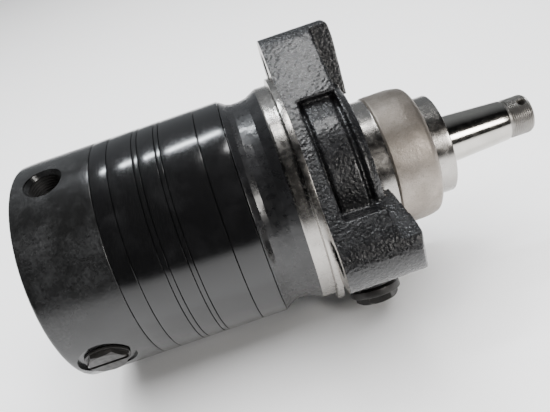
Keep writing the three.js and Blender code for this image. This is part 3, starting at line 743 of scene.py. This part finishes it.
def flange():
    """The rough-cast flange, fused and softened as a casting, then faced and drilled."""
    parts = [prism("plate", flange_outline(), CASTING_REAR, 172.6 * MM)]
    parts.append(turned("hub", line_of(
        (160, 0), (160, 58), (172, 58), (173, 55.4), (174.4, 55.4), (175.2, 58.3), (191.6, 58.3),
        (192.6, 54.8), (194.8, 54.8), (195.8, 58.6), (198, 58), (201, 56), (201, 0)), 160))
    for angle in EAR_ANGLES:
        shoulder = prism("shoulder", flange_outline(), CASTING_REAR, BLOCK_FRONT)
        half = across(angle + 60, (150 * MM, FRONT_LIMIT), (20 * MM, 70 * MM), (-90 * MM, -25 * MM))
        boolean(shoulder, "INTERSECT", [half])
        parts += [shoulder, ear_rib(angle)]
    boss = rod(40 * MM, DRAIN_BOSS_TOP, DRAIN_BOSS_RADIUS, 64)
    parts.append(standing(boss, DRAIN_X, DRAIN_ANGLE))
    piece = joined("housing_flange", parts)
    fused = piece.modifiers.new("fuse", "REMESH")
    fused.mode = "VOXEL"
    fused.voxel_size = 0.75 * MM
    softened = piece.modifiers.new("soften", "SMOOTH")
    softened.factor = 0.5
    softened.iterations = 4
    applied(piece)
    roughened(piece, 0.11 * MM, 1.5 * MM)
    tools = [
        block((150 * MM, MOUNT_FACE), (-0.12, 0.12), (-0.12, 0.12)),
        rod(150 * MM, FRONT_LIMIT, 49.4 * MM, 128),
        standing(rod(DRAIN_FACE_HEIGHT, 90 * MM, 18 * MM, 64), DRAIN_X, DRAIN_ANGLE),
        standing(rod(20 * MM, 90 * MM, 7.3 * MM, 48), DRAIN_X, DRAIN_ANGLE),
    ]
    for ear in EAR_ANGLES:
        drill = turned("drill", line_of(
            (150, 0), (150, 9.6), (163.9, 9.6), (164.7, EAR_HOLE), (230, EAR_HOLE), (230, 0)), 64)
        tools.append(beside(drill, EAR_CIRCLE, ear))
    cut(piece, tools)
    smooth(piece, 40)

    def choose(face):
        return 1 if face.center.x < MOUNT_FACE + 0.05 * MM and face.normal.x < -0.9 else 0

    finish(piece, "motor_body", ["housing"], [CAST, FACED], choose)


# ------------------------------------------------------------------ output shaft

def thread_sleeve(low, high, radius, pitch, depth, segments=96, steps=6):
    """The outside of a screw thread, as a closed solid with a cone at each end."""
    rows = math.ceil((high - low) / pitch * steps)
    vertices = []
    for row in range(rows + 1):
        x = low + (high - low) * row / rows
        lead = min(1.0, (x - low) / pitch, (high - x) / (1.6 * pitch))
        for k in range(segments):
            phase = (x / pitch - k / segments) % 1.0
            height = 1 - abs(2 * phase - 1)
            here = radius - depth * (1 - min(1.0, 1.25 * height))
            here -= (1 - lead) * 1.3 * MM
            vertices.append(around(here, 360 * k / segments, x))
    faces = [list(range(segments)), list(range(rows * segments, (rows + 1) * segments))]
    for row in range(rows):
        for k in range(segments):
            a, b = row * segments + k, row * segments + (k + 1) % segments
            faces.append([a, b, b + segments, a + segments])
    made = mesh_object("thread", vertices, faces)
    tidy_normals(made)
    return made


def output_shaft():
    large, small = 15.875, 13.075
    outline = [
        (SHAFT_REAR, 0), (SHAFT_REAR, 27), (205, 27), (205, 19.8), (245, 19.8), (246, 17.2),
        (250.8, 17.2), (251.4, large, 0.2), (HOUSING_FRONT, large), (297.7, small, 0.4),
        (298.0, 11.9), (300, 11.9), (300, 0)]
    corners = rounded(in_metres(outline, SHAFT_REAR, HOUSING_FRONT), 0.4 * MM)
    piece = turned("output_shaft_ground", finer(corners, 4 * MM), 160)
    thread = thread_sleeve(THREAD_START, SHAFT_END, THREAD_RADIUS, THREAD_PITCH, THREAD_DEPTH)
    boolean(piece, "UNION", [thread])
    keyway = placed(block(KEYWAY_ALONG, KEYWAY_ACROSS, KEYWAY_HEIGHT),
                    Matrix.Rotation(math.radians(KEYWAY_ANGLE), 4, "X"))
    drill = turned("cotter", line_of(
        (-20, 0), (-20, 3.4), (-12.4, 2.9), (-11.4, 2.2), (11.4, 2.2), (12.4, 2.9), (20, 3.4),
        (20, 0)), 40)
    cotter = standing(drill, COTTER_X, COTTER_ANGLE)
    cut(piece, [keyway, cotter, rod(140 * MM, 189 * MM, 13.4 * MM)])
    smooth(piece)

    def choose(face):
        return 1 if face.center.x > 297.9 * MM else 0

    finish(piece, "output_shaft", ["output_shaft"], [GROUND, THREAD], choose)


# ------------------------------------------------------------------ carried-over CAD nodes

def inner_pieces():
    looks = {"hardened_steel": HARD, "bearing_bronze": BRONZE, "seal_rubber": RUBBER}
    for row in frame["record"]["subparts"]:
        material = looks.get(row["material_slot"])
        node = frame["nodes"][row["node"]]
        if material and not node.hide_render:
            node.data.materials.clear()
            node.data.materials.append(material)


# ------------------------------------------------------------------ stage

def camera():
    elevation, roll = math.radians(CAMERA_ELEVATION), math.radians(CAMERA_ROLL)
    ahead = Vector((0, math.cos(elevation), -math.sin(elevation)))
    level_up = Vector((0, math.sin(elevation), math.cos(elevation)))
    level_right = Vector((1, 0, 0))
    right = math.cos(roll) * level_right - math.sin(roll) * level_up
    up = math.sin(roll) * level_right + math.cos(roll) * level_up
    aim = Vector((CAMERA_AIM_X, 0, 0)) - level_up * CAMERA_AIM_DROP
    lens = bpy.data.cameras.new("camera")
    lens.sensor_width = 36
    lens.lens = CAMERA_LENS
    lens.clip_start = 0.01
    made = bpy.data.objects.new("camera", lens)
    bpy.context.scene.collection.objects.link(made)
    rotation = Matrix((right, up, -ahead)).transposed().to_4x4()
    made.matrix_world = Matrix.Translation(aim - ahead * CAMERA_DISTANCE) @ rotation
    bpy.context.scene.camera = made


def floor():
    low = cad_box[0][2]
    half = 4.0
    corners = [(x * half, y * half, low) for x, y in ((-1, -1), (1, -1), (1, 1), (-1, 1))]
    made = mesh_object("floor", corners, [[0, 1, 2, 3]])
    n = Nodes("floor_paper").set(Roughness=0.55)
    n.colour(n.blend(n.noise(4, 2), (0.93, 0.93, 0.935), (0.9, 0.9, 0.905)))
    made.data.materials.append(n.material)


def area_light(name, place, aim, size, power, colour=(1, 1, 1)):
    data = bpy.data.lights.new(name, "AREA")
    data.shape = "RECTANGLE"
    data.size, data.size_y = size
    data.energy = power
    data.color = colour
    made = bpy.data.objects.new(name, data)
    bpy.context.scene.collection.objects.link(made)
    direction = Vector(aim) - Vector(place)
    turn = direction.to_track_quat("-Z", "Y").to_matrix().to_4x4()
    made.matrix_world = Matrix.Translation(place) @ turn
    return made


def surroundings():
    """A room that is bright behind and above the object and dark in front of it."""
    world = bpy.data.worlds.new("studio")
    world.use_nodes = True
    tree = world.node_tree
    sky = tree.nodes["Background"]
    place = tree.nodes.new("ShaderNodeTexCoord").outputs["Generated"]
    direction = tree.nodes.new("ShaderNodeVectorMath")
    direction.operation = "DOT_PRODUCT"
    direction.inputs[1].default_value = (0.1, 0.8, 0.35)
    tree.links.new(place, direction.inputs[0])
    ramp = tree.nodes.new("ShaderNodeValToRGB")
    ramp.color_ramp.elements[0].position = 0.25
    ramp.color_ramp.elements[0].color = (0.025, 0.026, 0.028, 1)
    ramp.color_ramp.elements[1].position = 0.75
    ramp.color_ramp.elements[1].color = (0.9, 0.95, 1.0, 1)
    tree.links.new(direction.outputs["Value"], ramp.inputs["Fac"])
    tree.links.new(ramp.outputs["Color"], sky.inputs["Color"])
    sky.inputs["Strength"].default_value = 0.32
    bpy.context.scene.world = world


def lights():
    surroundings()
    area_light("window", (0.03, 0.42, 0.85), (0.06, 0, 0.05), (0.3, 0.05), 4, (0.9, 0.95, 1))
    area_light("overhead", (0.26, 0.1, 0.75), (0.2, 0, 0), (0.1, 0.2), 1.1, (1, 1, 1))
    area_light("side", (0.7, -0.75, 0.5), (0.2, 0, 0), (0.2, 0.3), 5, (1, 0.97, 0.93))
    fill = area_light("fill", (0.1, 0.1, 1.6), (0.1, 0, 0), (2.5, 2.5), 120)
    fill.visible_glossy = False


camera()
end_cover()
stack_plates()
port_plug()
drain_plug()
cover_bolts()
housing_core()
flange()
output_shaft()
inner_pieces()
floor()
lights()
